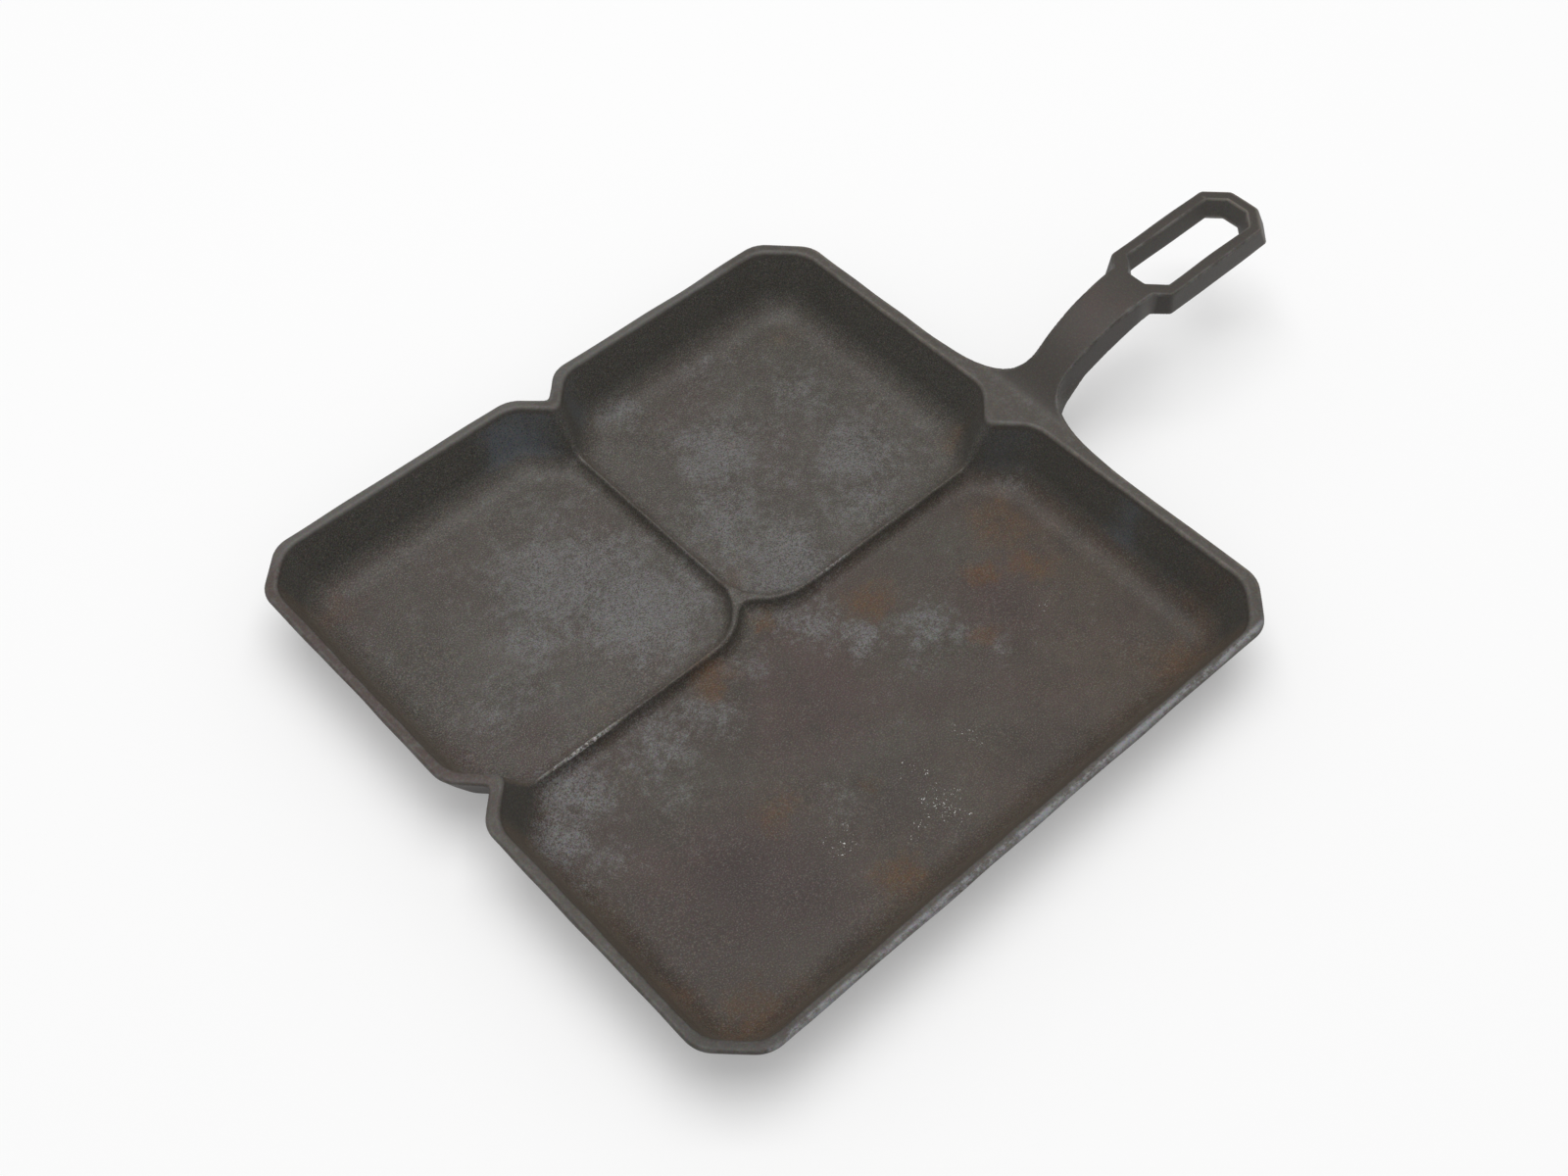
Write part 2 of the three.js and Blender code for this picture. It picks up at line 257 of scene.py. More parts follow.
def trays(x, y, z):
    climb = np.clip((z - floor_top - crest_height) / (rim_height - floor_top - crest_height), 0, 1)
    reach = crest_reach + (nose_reach - crest_reach) * climb
    far, near, large = egg_tray_outline(x, y, -1), egg_tray_outline(x, y, 1), large_tray_outline(x, y)
    eggs = soft_min(hollow(far, z), hollow(near, z), reach)
    all_three = soft_min(eggs, hollow(large, z), reach)
    rim_side = np.where(y < 0, large[0], np.where(x < 0, far[0], near[0]))
    rim_wall = (rim_side + (rim_height - z) * tray_slope) * tray_lean
    rim_hollow = soft_max(rim_wall, floor_top - z, fillet_reach)
    over_dividers = np.maximum(rim_hollow + level_reach, floor_top + crest_height + level_over - z)
    return soft_min(all_three, over_dividers, level_reach)


print(f"crests rounded with a reach of {crest_reach:.2f} mm, noses with {nose_reach:.2f} mm")

# %% [markdown]
# ## The pan's outside
# The outside wall leans in more than the trays do, and turns into a flat base through a large round. At the
# two divider ends that carry no handle, the rim steps in as a V notch. The rim's land is a little wider on
# the handle's side, as the mould left it.

# %% Pan outside
outside_draft = 24.0
notch_draft = 24.5
base_round = 10.0
corner_round = 11.0
notch_land = 4.9
notch_ease = 1.1
handle_side_land = 1.0

outside_slope = math.tan(math.radians(outside_draft))
notch_slope = math.tan(math.radians(notch_draft))
notch_foot = nose_place + notch_land * math.sqrt(2)
outer_reach = rounding(corner_round, 45)


def pan_outside(x, y, z):
    depth = rim_height - z
    east = rim_edge + handle_side_land
    outline = np.maximum.reduce([-rim_edge - x, x - east, -rim_edge - y, y - rim_edge])
    for towards, leg in corner_legs.items():
        corner = (east if towards[0] > 0 else -rim_edge, rim_edge * towards[1])
        outline = soft_max(outline, beyond_cut(x, y, corner, towards, leg), outer_reach)
    for outwards, across in ((y, x), (-x, y)):
        notch = (outwards - np.hypot(across, notch_ease) - notch_foot + notch_ease) * DIAGONAL
        outline = soft_max(outline, notch + depth * (notch_slope - outside_slope), outer_reach)
    wall = (outline + depth * outside_slope) * math.cos(math.radians(outside_draft))
    return soft_max(wall, -z, rounding(base_round, 90 - outside_draft))


print(f"notches reach in to {notch_foot:.1f} mm from the middle")

# %% [markdown]
# ## The handle
# The handle flares out of the rim flush with its land, rises in an S and levels out into the loop. Its side
# view is two curves, its top and its underside, and its plan is a half width that changes along the handle.
# Bezier curves give both, sampled finely enough to be read as plain functions of the distance along X.

# %% Handle curves
CURVE_STEPS = 200
rise_start = 1.0
rise_pull = 8.0
level_pull = 35.0
root_depth = 13.0
root_pull = 12.0
root_lift = 2.0
under_pull = 20.0
under_drop = 1.5
root_spread = 5.0
flare_half = 46.0
flare_pull = 21.0
flare_lift = 2.6
flare_sink = 0.2
neck_half = 7.4
neck_pull = 12.6
arm_end_half = 9.2


def bezier(start, start_pull, end_pull, end):
    t = np.linspace(0, 1, CURVE_STEPS)[:, None]
    points = np.array([start, start_pull, end_pull, end])
    weights = np.hstack([(1 - t) ** 3, 3 * t * (1 - t) ** 2, 3 * t * t * (1 - t), t ** 3])
    return (weights @ points).T


def along(curve, x):
    """A curve's value at x and the length that its slope adds to a unit step, for true distances."""
    slope = np.gradient(curve[1], curve[0])
    return np.interp(x, *curve), np.hypot(1, np.interp(x, curve[0], slope))


root_inset = root_depth * outside_slope
top_curve = bezier((rim_edge + rise_start, rim_height), (rim_edge + rise_start + rise_pull, rim_height),
                   (shoulder - level_pull, handle_top), (shoulder, handle_top))
under_curve = bezier((rim_edge - root_inset, rim_height - root_depth),
                     (rim_edge + root_pull, rim_height - root_depth + root_lift),
                     (shoulder - under_pull, loop_under - under_drop), (shoulder, loop_under))
flare_curve = bezier((rim_edge - flare_sink, flare_half), (rim_edge + flare_lift, flare_half - flare_pull),
                     (neck - neck_pull, neck_half), (neck, neck_half))
side_curve = np.hstack([flare_curve, [[shoulder], [arm_end_half]]])
print(f"the arm is {2 * neck_half:.1f} mm wide at its neck and {2 * arm_end_half:.1f} mm at the loop")

# %% [markdown]
# ## The loop
# The loop is a flat bar bent into a long octagon. Its far end and its shoulders lean a little, wider
# underneath, because the mould parted there, and the whole handle leans a little to one side.
# Arm and loop are drawn from above as one plan, and the underside's curve cuts it off.

# %% Arm and loop
bar_width = 4.4
slot_length = 55.8
loop_end_leg = 8.0
loop_corner_round = 2.5
end_lean = 5.2
end_skew = 0.8
shoulder_lean = 1.0
shoulder_skew = 2.0
handle_lean = 0.45
loop_edge_round = 0.7
root_edge_round = 1.6
root_back = 100.0

loop_end = loop_high[0] - end_lean
slot_end = loop_end - bar_width
slot_start = slot_end - slot_length
shoulder_leg = loop_half - arm_end_half
loop_reach = rounding(loop_corner_round, 45)


def handle_sides(x, y, z):
    """The handle seen from above and from below; its top is cut with the rim's."""
    sink = (handle_top - z) / (handle_top - loop_under)
    y = y + handle_lean * sink
    wide = np.abs(y)
    depth = np.maximum(rim_height - z, 0)
    wall = rim_edge - depth * outside_slope
    level_x = np.where(x < neck, neck + (x - neck) * (neck - rim_edge) / (neck - wall), x)
    half, half_length = along(side_curve, level_x)
    arm = (wide - half - root_spread * depth / root_depth) / half_length
    start = shoulder - (shoulder_lean + shoulder_skew * np.tanh(y / arm_end_half)) * sink
    end = loop_end + (end_lean - end_skew * np.tanh(y / arm_end_half)) * sink
    loop = np.maximum.reduce([start - x, x - end, wide - loop_half])
    loop = soft_max(loop, beyond_cut(x, wide, (start, loop_half), (-1, 1), shoulder_leg), loop_reach)
    loop = soft_max(loop, beyond_cut(x, wide, (end, loop_half), (1, 1), loop_end_leg), loop_reach)
    arm = np.maximum.reduce([arm, root_back - x, x - slot_start])
    plan = soft_min(arm, loop, loop_reach)
    under, under_length = along(under_curve, x)
    edge = np.interp(x, (neck, shoulder), (rounding(root_edge_round, 90), rounding(loop_edge_round, 90)))
    return soft_max(plan, (under - z) / under_length, edge)


print(f"the loop's bar is {bar_width} mm wide at the top and its end lies at {loop_end:.1f} mm")

# %% [markdown]
# ## The slot
# The pan hangs on a hook by the slot in its loop. The slot's walls draw in to a waist and open again below
# it, because its sand core was drawn out both ways. Two drafts make it, joined by a soft minimum.

# %% Slot
slot_draft = 21.0
slot_waist = 6.3
slot_under_draft = 42.0
waist_round = 0.6
slot_start_leg = 6.0

slot_half = loop_half - bar_width
slot_end_leg = loop_end_leg - bar_width * (2 - math.sqrt(2))
slot_corner_reach = loop_reach / 2
slot_slope = math.tan(math.radians(slot_draft))
slot_lean = math.cos(math.radians(slot_draft))
under_slope = math.tan(math.radians(slot_under_draft))
under_lean = math.cos(math.radians(slot_under_draft))
waist_reach = rounding(waist_round, slot_draft + slot_under_draft)


def handle_slot(x, y, z):
    depth = handle_top - z
    wide = np.abs(y)
    start_corner, end_corner = (slot_start, slot_half), (slot_end, slot_half)
    slot = np.maximum.reduce([slot_start - x, x - slot_end, wide - slot_half])
    slot = soft_max(slot, beyond_cut(x, wide, start_corner, (-1, 1), slot_start_leg), slot_corner_reach)
    slot = soft_max(slot, beyond_cut(x, wide, end_corner, (1, 1), slot_end_leg), slot_corner_reach)
    drawn_in = slot_waist * slot_slope
    above = (slot + depth * slot_slope) * slot_lean
    below = (slot + drawn_in - (depth - slot_waist) * under_slope) * under_lean
    return soft_min(above, below, waist_reach)


print(f"the slot runs from {slot_start:.1f} to {slot_end:.1f} mm and is {2 * slot_half:.1f} mm wide")

# %% [markdown]
# ## The whole casting
# Now the fields join. Pan and handle run into each other with a fillet, one top surface cuts both, and then
# the trays and the slot are taken out. Each cut has the small round that its edge shows on the real pan.

# %% The iron
root_fillet = 1.0
rim_round = 0.9
tray_rim_round = 1.4
slot_round = 0.4
skew_middle = 0.35
skew_rate = 0.006
rim_reach = rounding(rim_round, 90 + outside_draft)
tray_rim_reach = rounding(tray_rim_round, 90 - tray_draft)
handle_reach = rounding(loop_edge_round, 90)
slot_reach = rounding(slot_round, 90)


def true_y(x, y):
    """The near side of the real rim runs askew: it lies in at one end and out at the other."""
    askew = (skew_middle - skew_rate * x) / rim_edge
    return np.where(y < 0, y * (1 + askew), y)


def iron(x, y, z):
    y = true_y(x, y)
    top, top_length = along(top_curve, x)
    edge = np.interp(x, (rim_edge, neck), (rim_reach, handle_reach))
    sides = soft_min(pan_outside(x, y, z), handle_sides(x, y, z), rounding(root_fillet, 90))
    body = soft_max(sides, (z - top) / top_length, edge)
    body = soft_max(body, -trays(x, y, z), tray_rim_reach)
    return soft_max(body, -handle_slot(x, y, z), slot_reach)


print("field at the middle of the large tray's floor:", round(float(iron(0.0, -60.0, floor_top)), 3), "mm")

# %% [markdown]
# ## A skin over the field
# To turn the field into a mesh, it is sampled on a grid of small cubes. Each cube that the surface crosses
# gets one point, at the mean of the crossings on its edges, and each grid edge that is crossed gets one
# square face between the four cubes around it. This is known as surface nets, and it makes even quads.

# %% Sample the field and make the skin
CELL = 0.7
MARGIN = 2.4
grid_low = np.array(cad_low) / MM - MARGIN
grid_high = np.array(cad_high) / MM + MARGIN
axes = [np.arange(low, high, CELL) for low, high in zip(grid_low, grid_high)]
ground_x, ground_y = np.meshgrid(axes[0], axes[1], indexing="ij")
samples = np.stack([iron(ground_x, ground_y, height) for height in axes[2]], axis=2)


def crossing_points(field, cells):
    """The mean of the surface's crossings on the edges of each cell, in cell units."""
    total = np.zeros((len(cells), 3))
    count = np.zeros((len(cells), 1))
    corners = list(itertools.product((0, 1), repeat=3))
    values = {corner: field[tuple((cells + corner).T)] for corner in corners}
    for a, b in itertools.combinations(corners, 2):
        if sum(abs(i - j) for i, j in zip(a, b)) != 1:
            continue
        crossed = (values[a] < 0) != (values[b] < 0)
        share = np.where(crossed, values[a], 0) / np.where(crossed, values[a] - values[b], 1)
        point = np.array(a) + share[:, None] * (np.array(b) - a)
        total += point * crossed[:, None]
        count += crossed[:, None]
    return cells + total / count


def skin(field):
    """Points, in cell units, and quads of the surface where the field is zero."""
    inside = field < 0
    size = np.array(field.shape) - 1
    filled = sum(inside[i:i + size[0], j:j + size[1], k:k + size[2]].astype(np.int8)
                 for i, j, k in itertools.product((0, 1), repeat=3))
    cells = np.argwhere((filled > 0) & (filled < 8))
    number = np.full(size, -1)
    number[tuple(cells.T)] = np.arange(len(cells))
    quads = []
    for axis in range(3):
        step = np.eye(3, dtype=int)
        u, v = step[(axis + 1) % 3], step[(axis + 2) % 3]
        ahead = np.roll(inside, -1, axis)
        edges = np.argwhere(inside != ahead)
        around = np.stack([number[tuple((edges - shift).T)] for shift in (0 * u, u, u + v, v)], axis=1)
        leaving = inside[tuple(edges.T)]
        quads.append(np.where(leaving[:, None], around, around[:, ::-1]))
    return crossing_points(field, cells), np.vstack(quads)


skin_points, skin_quads = skin(samples)
skin_points = grid_low + skin_points * CELL
print(f"{samples.size} samples gave {len(skin_points)} points and {len(skin_quads)} quads")

# %% [markdown]
# ## Settling the points
# The mean of a cube's crossings is near the surface but not on it, which dulls small rounds. A few Newton
# steps along the field's slope put each point exactly on it. The slope also gives true surface normals.

# %% Settle points on the surface
SLOPE_STEP = 0.05


def slope_at(points, step=SLOPE_STEP):
    shifts = np.eye(3) * step
    return np.stack([iron(*(points + s).T) - iron(*(points - s).T) for s in shifts], axis=1) / (2 * step)


def settle(points, rounds=2):
    for _ in range(rounds):
        slope = slope_at(points)
        points = points - slope * (iron(*points.T) / (slope ** 2).sum(1))[:, None]
    return points


skin_points = settle(skin_points)
print(f"farthest point from the surface now: {np.abs(iron(*skin_points.T)).max():.4f} mm")

# %% [markdown]
# ## Fewer faces where the iron is flat
# The flat floors and base need far fewer faces than the rounded rim and crests. A Decimate modifier takes
# faces away where the surface bends least, and the points that stay are settled again.

# %% The casting's mesh
MOST_TRIANGLES = 190_000


def mesh_object(name, points, faces):
    mesh = bpy.data.meshes.new(name)
    mesh.from_pydata((points * MM).tolist(), [], faces.tolist())
    mesh.update()
    piece = bpy.data.objects.new(name, mesh)
    bpy.context.scene.collection.objects.link(piece)
    return piece


casting = mesh_object("skillet_casting", skin_points, skin_quads)
thinner = casting.modifiers.new("thinner", "DECIMATE")
thinner.ratio = min(1.0, MOST_TRIANGLES / (2 * len(skin_quads)))
dense_mesh = casting.data
casting.data = bpy.data.meshes.new_from_object(casting.evaluated_get(bpy.context.evaluated_depsgraph_get()))
casting.data.name = casting.name
casting.modifiers.clear()
bpy.data.meshes.remove(dense_mesh)
print(f"{casting.name}: {len(casting.data.vertices)} points, {len(casting.data.polygons)} faces")

# %% [markdown]
# ## Sand waves
# A sand mould is never quite flat. A few long, shallow waves with a fixed seed give the floors and walls the
# faint unevenness that reflections show on old iron. The base stays flat, because the pan stands on it.

# %% Settle again and add the mould's unevenness
WAVE_COUNT = 14
WAVE_DEPTH = 0.035
WAVE_LENGTHS = (18.0, 70.0)
BASE_HEIGHT = 0.5
wave_seed = np.random.default_rng(11)
wave_ways = wave_seed.normal(size=(WAVE_COUNT, 3))
wave_ways /= np.linalg.norm(wave_ways, axis=1, keepdims=True)
wave_lengths = wave_seed.uniform(*WAVE_LENGTHS, size=WAVE_COUNT)
wave_phases = wave_seed.uniform(0, 2 * math.pi, size=WAVE_COUNT)


def sand_waves(points):
    turns = points @ wave_ways.T * (2 * math.pi / wave_lengths) + wave_phases
    return WAVE_DEPTH * np.sin(turns).sum(1)


points = np.empty(len(casting.data.vertices) * 3)
casting.data.vertices.foreach_get("co", points)
points = settle(points.reshape(-1, 3) / MM)
normals = slope_at(points)
normals /= np.linalg.norm(normals, axis=1, keepdims=True)
lift = np.where(points[:, 2] > BASE_HEIGHT, sand_waves(points), 0)
final_points = points + normals * lift[:, None]
casting.data.vertices.foreach_set("co", (final_points * MM).ravel())
casting.data.polygons.foreach_set("use_smooth", np.ones(len(casting.data.polygons), bool))
casting.data.update()
print(f"waves move the skin by {lift.min():.2f} to {lift.max():.2f} mm")

# %% [markdown]
# ## Where edges are rubbed
# Hands, hooks and spatulas rub the edges first. How much the surface bends outwards at a point is the sum of
# the field at six points around it, so no edge has to be marked by hand. It is kept on the mesh as an
# attribute for the shader.

# %% Bend of the surface
EDGE_STEP = 0.6
edge_shifts = np.vstack([np.eye(3), -np.eye(3)]) * EDGE_STEP
bend = sum(iron(*(points + shift).T) for shift in edge_shifts) / EDGE_STEP ** 2
edge_rub = casting.data.attributes.new("edge_rub", "FLOAT", "POINT")
edge_rub.data.foreach_set("value", np.clip(bend, 0, 1).astype(np.float32))
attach(casting, "root")
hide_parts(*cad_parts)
print(f"{(bend > 0.5).mean():.1%} of the points lie on an outward edge")

# %% [markdown]
# ## Shader arithmetic
# Old iron is many finishes laid over each other, and each needs a mask made of sums and products. Wiring
# every Math node by hand hides the formula, so a small class wraps a node's output: arithmetic written on it
# adds the Math nodes, and its node method makes all the others.

# %% A node output with arithmetic
class Shade:
    """An output of a shader node, on which plain arithmetic makes Math nodes."""

    def __init__(self, tree, socket=None):
        self.tree = tree
        self.socket = socket

    def node(self, kind, settings, inputs, output=0):
        made = self.tree.nodes.new(kind)
        for name, value in settings.items():
            setattr(made, name, value)
        for key, value in inputs.items():
            if isinstance(value, Shade):
                self.tree.links.new(value.socket, made.inputs[key])
            else:
                made.inputs[key].default_value = value
        return Shade(self.tree, made.outputs[output])

    def math(self, operation, *values):
        return self.node("ShaderNodeMath", {"operation": operation}, dict(enumerate(values)))

    def __add__(self, other):
        return self.math("ADD", self, other)

    def __radd__(self, other):
        return self.math("ADD", other, self)

    def __sub__(self, other):
        return self.math("SUBTRACT", self, other)

    def __rsub__(self, other):
        return self.math("SUBTRACT", other, self)

    def __mul__(self, other):
        return self.math("MULTIPLY", self, other)

    def __rmul__(self, other):
        return self.math("MULTIPLY", other, self)

    def __abs__(self):
        return self.math("ABSOLUTE", self)

    def larger(self, other):
        return self.math("MAXIMUM", self, other)

    def ramp(self, low, high):
        """0 below low and 1 above high, eased between; a low above the high turns it round."""
        limits = {"Value": self, "From Min": low, "From Max": high}
        return self.node("ShaderNodeMapRange", {"interpolation_type": "SMOOTHSTEP"}, limits)

    def span(self, low, high):
        """The same ramp between two lengths in millimetres."""
        return self.ramp(low * MM, high * MM)

    def blend(self, start, end):
        """From one colour to another, with this output as the share of the second."""
        return self.node("ShaderNodeMix", {"data_type": "RGBA"}, {0: self, 6: start, 7: end}, 2)

    def beside(self, name):
        """Another output of the same node."""
        return Shade(self.tree, self.socket.node.outputs[name])

    def split(self):
        """The three parts of a vector."""
        x = self.node("ShaderNodeSeparateXYZ", {}, {0: self}, "X")
        return x, x.beside("Y"), x.beside("Z")

    def feed(self, node, name):
        self.tree.links.new(self.socket, node.inputs[name])


print("reflected forms:", [name for name in vars(Shade) if name.startswith("__r")])

# %% [markdown]
# ## The iron's material
# One material covers the whole casting, since it is one piece of iron. Its finishes are added one at a time
# in the cells below, each over the last, as they came about on the real pan.

# %% An empty material
def new_material(name):
    material = bpy.data.materials.new(name)
    material.use_nodes = True
    return material, Shade(material.node_tree), material.node_tree.nodes["Principled BSDF"]


iron_material, shade, iron_shader = new_material("seasoned_iron")
casting.data.materials.append(iron_material)
print("materials:", [material.name for material in bpy.data.materials])

# %% [markdown]
# ## Where on the casting
# Wear follows the shape: floors are scraped, walls keep their dark oil, rims and edges are rubbed bright.
# The height and the direction that the surface faces tell these regions apart. Both are read in the
# casting's own frame, so the finish stays in place when the pan is moved.

# %% Regions of the casting
place = shade.node("ShaderNodeTexCoord", {}, {}, "Object")
facing = shade.node("ShaderNodeTexCoord", {}, {}, "Normal")
place_x, place_y, height = place.split()
endward, sideward, upward = facing.split()

in_tray = height.span(25.2, 22.5) * upward.ramp(0.05, 0.25)
off_tray = 1 - in_tray
steep = upward.ramp(0.93, 0.45)
tray_wall = in_tray * steep
tray_floor = in_tray * height.span(14, 7)
large_tray = in_tray * place_y.span(3, -5)
smooth_skin = height.span(25.0, 26.5)
print("regions: tray floors and walls, the large tray, the handle's smooth skin and the rest")

# %% [markdown]
# ## Grain and clouds
# Noise of several sizes carries all the finishes. Clouds are a few centimetres wide, mottling about one,
# lace a few millimetres, and flecks and grain a millimetre and less, which is about what the sand left.

# %% Noise, from coarse to fine
def noise(scale, detail, roughness, output="Fac", vector=place):
    values = {"Vector": vector, "Scale": scale, "Detail": detail, "Roughness": roughness}
    return shade.node("ShaderNodeTexNoise", {}, values, output)


cloud = noise(34, 4, 0.55)
hue = noise(45, 5, 0.6)
drift = noise(80, 8, 0.7, "Color")
mottle = noise(120, 8, 0.72)
lace = noise(300, 9, 0.75)
fleck = noise(800, 5, 0.75)
speckle = noise(1400, 3, 0.6)
tint = noise(1500, 2, 0.6, "Color")
grain = noise(2000, 3, 0.7)
print("noise: cloud, hue, drift, mottle, lace, fleck, speckle, tint and grain")

# %% [markdown]
# ## Patches by place
# Where a spatula scraped and where water stood is different in each tray, so the larger patches have places:
# x, y, reach and strength, in millimetres. Each is a soft round spot. Their outlines are frayed by first
# moving the point that is asked for by some millimetres of noise.

# %% Frayed patches
FRAY = 12 * MM
fray_reach = (2 * FRAY, 2 * FRAY, 0)
frayed = shade.node("ShaderNodeVectorMath", {"operation": "SUBTRACT"}, {0: drift, 1: (0.5, 0.5, 0.5)})
frayed = shade.node("ShaderNodeVectorMath", {"operation": "MULTIPLY_ADD"},
                    {0: frayed, 1: fray_reach, 2: place})
frayed = shade.node("ShaderNodeVectorMath", {"operation": "MULTIPLY"}, {0: frayed, 1: (1, 1, 0)})


def patches(spots):
    """The strongest of the patches at a point, each fading out towards its reach."""
    total = None
    for x, y, reach, strength in spots:
        ends = {0: frayed, 1: (x * MM, y * MM, 0)}
        away = shade.node("ShaderNodeVectorMath", {"operation": "DISTANCE"}, ends, "Value")
        spot = away.span(reach, 0) * strength
        total = spot if total is None else total.larger(spot)
    return total


print(f"patches are frayed by up to {FRAY / MM:.0f} mm")

# %% [markdown]
# ## Baked oil
# Seasoning is oil that has baked on in thin coats. It is grey-brown in the egg trays, darker and warmer in
# the large tray, and even on the rim and the handle. In the trays a tone mixed from three noises runs
# between a dark and a light coat, and a slow change of hue turns parts of them reddish.

# %% Baked oil
oil_dark = (0.050, 0.043, 0.035, 1)
oil_light = (0.084, 0.075, 0.064, 1)
warm_dark = (0.036, 0.027, 0.020, 1)
warm_light = (0.059, 0.045, 0.034, 1)
reddish = (0.059, 0.036, 0.031, 1)
rim_oil = (0.074, 0.064, 0.054, 1)
handle_oil = (0.046, 0.039, 0.032, 1)

tone = (0.35 * mottle + 0.3 * cloud + 0.35 * lace).ramp(0.38, 0.62)
colour = large_tray.blend(tone.blend(oil_dark, oil_light), tone.blend(warm_dark, warm_light))
colour = ((0.18 + 0.22 * large_tray) * hue.ramp(0.4, 0.62)).blend(colour, reddish)
colour = off_tray.blend(colour, smooth_skin.blend(rim_oil, handle_oil))
print("coats of oil: egg trays, large tray, rim and handle")

# %% [markdown]
# ## The rim's coat
# The rim is handled all round, but not evenly: it is reddish at the far end, greyer along the egg trays, and
# flecked with bare grey everywhere on its land. Each side is a band of places along X or Y.

# %% Rim
rubbed = (0.125, 0.121, 0.113, 1)

far_end_rim = place_x.span(-100, -112) * place_y.span(-12, 4) * off_tray
far_side_rim = place_y.span(108, 116) * place_x.span(95, 80) * off_tray
rim_top = off_tray * (1 - smooth_skin) * upward.ramp(0.3, 0.7) * height.span(18, 22)
rim_flecks = (0.5 * lace + 0.5 * fleck).ramp(0.48, 0.6)
colour = (0.65 * far_end_rim).blend(colour, reddish)
colour = (0.4 * far_side_rim).blend(colour, rubbed)
colour = (0.55 * rim_top * rim_flecks).blend(colour, rubbed)
print("rim: reddish far end, grey far side, flecks on the land")

# %% [markdown]
# ## Stains
# Food and heat colour the oil in broad stains, olive, brown and dark red, which run into each other. They
# are laid over each other in that order, thinned by the mottling so that the coat below shows through.

# %% Stains
olive_patches = [
    (-8, -56, 36, 1.0), (-84, -92, 24, 0.6), (34, -38, 36, 0.8), (-58, -28, 34, 0.7), (0, -84, 24, 0.6),
    (66, -14, 26, 0.8), (20, -72, 22, 0.6), (-92, 66, 30, 0.5), (86, 84, 30, 0.6),
]
brown_patches = [
    (94, -48, 46, 0.9), (72, -92, 48, 0.8), (-100, -96, 40, 0.9), (-106, -52, 30, 0.7), (18, -98, 36, 0.6),
    (-32, -98, 30, 0.6), (30, -18, 22, 0.5), (-44, -54, 20, 0.6), (-24, -4, 18, 0.5),
]
red_patches = [
    (-8, -33, 42, 1.5), (-68, -63, 38, 1.6), (-58, -78, 28, 1.3), (-84, -46, 24, 0.8), (66, -46, 24, 1.5),
    (20, -62, 18, 0.5), (-101, 25, 22, 0.9), (-84, 9, 24, 1.0), (-13, 70, 20, 0.4), (-70, 90, 36, 0.4),
    (55, 52, 26, 0.5), (50, 94, 24, 0.5), (-40, 12, 24, 0.4), (-97, 96, 22, 0.9), (46, -76, 20, 0.5),
    (160, -1, 16, 0.8), (148, 0, 12, 0.5),
]
olive = (0.060, 0.058, 0.044, 1)
oil_brown = (0.074, 0.051, 0.034, 1)

stain_mottle = mottle.ramp(0.3, 0.6)
olive_place = patches(olive_patches) * tray_floor
brown_place = patches(brown_patches) * in_tray
red_place = patches(red_patches) * (tray_floor + smooth_skin)
colour = (0.7 * olive_place * stain_mottle).blend(colour, olive)
colour = (0.7 * brown_place * stain_mottle).blend(colour, oil_brown)
colour = (0.9 * red_place * stain_mottle).blend(colour, reddish)
print("stains:", len(olive_patches), "olive,", len(brown_patches), "brown,", len(red_patches), "red")

# %% [markdown]
# ## Scraped floors
# A steel spatula takes the oil off the high grains and leaves bare grey iron, most in the egg trays. The
# patches say how much is gone, lace and mottle eat into their outlines, and the finest noises leave dark
# oil between the grains.

# %% Scraped floors
worn_patches = [
    (-36, 59, 42, 0.8), (-24, 33, 36, 1.0), (-32, 32, 18, 1.25), (-58, 47, 20, 0.75), (-85, 34, 22, 0.4),
    (-20, 84, 20, 0.4), (39, 68, 26, 0.95), (21, 43, 24, 0.7), (24, 15, 28, 0.9), (74, 33, 30, 0.75),
    (81, 68, 20, 0.5), (26, 102, 14, 0.7), (16, 33, 18, 0.6), (60, 14, 22, 0.6), (62, 96, 18, 0.3),
    (54, 52, 60, 0.3), (-86, -8, 24, 0.85), (-98, -17, 20, 0.9), (-94, -30, 18, 0.5), (-55, -12, 24, 0.65),
    (-36, -15, 24, 0.5), (-104, -34, 16, 0.5), (15, -12, 15, 0.75), (21, -26, 11, 1.0), (39, -36, 17, 0.7),
    (46, -47, 13, 0.6), (31, -41, 12, 0.5), (8, -3, 12, 0.5), (-66, -24, 24, 0.35), (-16, -10, 16, 0.5),
    (104, -14, 12, 0.5), (51, -59, 8, 0.5), (-30, -62, 20, 0.2),
]
bare_iron = (0.144, 0.143, 0.146, 1)

worn_place = patches(worn_patches) * tray_floor
worn_share = worn_place + 0.07 * (1 - large_tray) + 2.4 * (lace - 0.5) + 1.6 * (mottle - 0.5)
worn_share = worn_share.ramp(0.12, 0.98) * tray_floor
worn_share = worn_share * (0.6 * fleck + 0.4 * grain).ramp(0.38, 0.6)
colour = worn_share.blend(colour, bare_iron)
print("scraped:", len(worn_patches), "patches")

# %% [markdown]
# ## Rust
# Rust comes where water stood, mostly in spots on the large tray's floor and in corners. It is a thin orange
# film that lies over bare iron and oil alike, so it is blended in after both.

